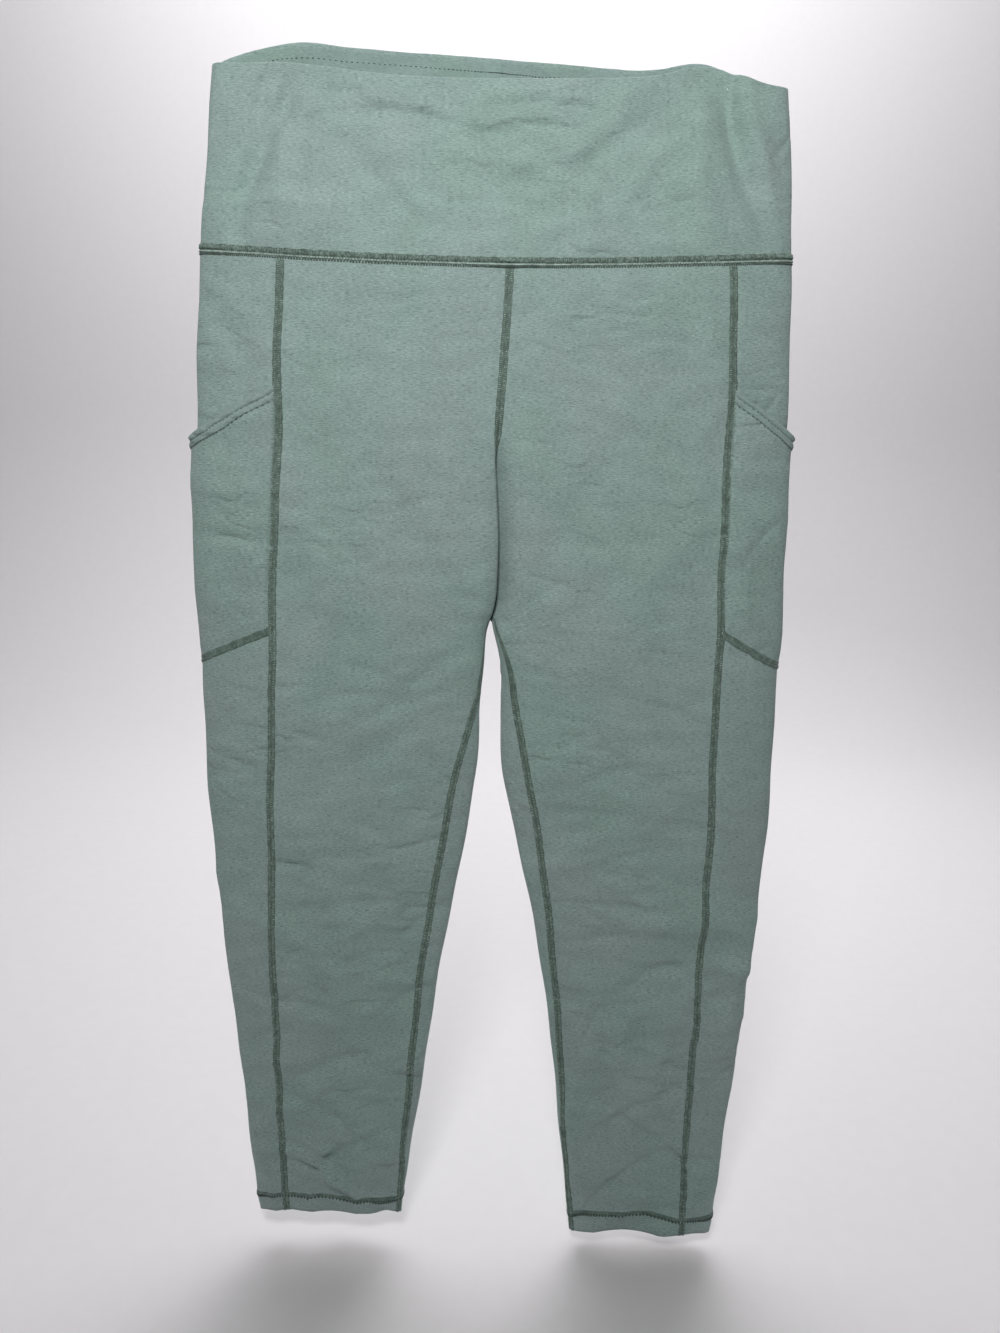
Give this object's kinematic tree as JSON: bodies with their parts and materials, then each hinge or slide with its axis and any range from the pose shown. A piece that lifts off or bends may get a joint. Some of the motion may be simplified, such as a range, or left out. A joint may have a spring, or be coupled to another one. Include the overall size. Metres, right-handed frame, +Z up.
{
  "type": "high-waist leggings",
  "caption": "Cropped high-waist knit leggings with a wide folded waistband, side pockets, a gusset and flatlock seams, in the shape they hang in when held by the waistband.",
  "frame": {"origin": "middle of the waistband's top edge, halfway between the two places where hanger clips hold it", "axes": "+Z up, -Y the wearer's front, +X the wearer's left, symmetric about X=0"},
  "size_m": [0.4198, 0.0474, 0.865],
  "materials": {
    "knit_cloth": "matte heathered knit",
    "seam_thread": "matte stitched thread",
    "elastic": "woven elastic tape"
  },
  "bodies": {
    "root": {"waistband_front": "knit_cloth", "waistband_back": "knit_cloth", "front_panel_left": "knit_cloth", "front_panel_right": "knit_cloth", "back_panel_left": "knit_cloth", "back_panel_right": "knit_cloth", "pocket_front_left": "knit_cloth", "pocket_front_right": "knit_cloth", "side_yoke_left": "knit_cloth", "side_yoke_right": "knit_cloth", "lower_side_panel_left": "knit_cloth", "lower_side_panel_right": "knit_cloth", "gusset": "knit_cloth", "hem_facing_left": "knit_cloth", "hem_facing_right": "knit_cloth", "waist_elastic": "elastic", "waist_seam": "seam_thread", "top_edge_stitch": "seam_thread", "pocket_mouth_hem_left": "seam_thread", "pocket_mouth_hem_right": "seam_thread", "pocket_base_seam_left": "seam_thread", "pocket_base_seam_right": "seam_thread", "gusset_seam_left": "seam_thread", "gusset_seam_right": "seam_thread", "front_rise_seam": "seam_thread", "back_rise_seam": "seam_thread", "front_side_seam_left": "seam_thread", "front_side_seam_right": "seam_thread", "back_side_seam_left": "seam_thread", "back_side_seam_right": "seam_thread", "inseam_left": "seam_thread", "inseam_right": "seam_thread", "hem_stitch_left": "seam_thread", "hem_stitch_right": "seam_thread"}
  },
  "joints": []
}
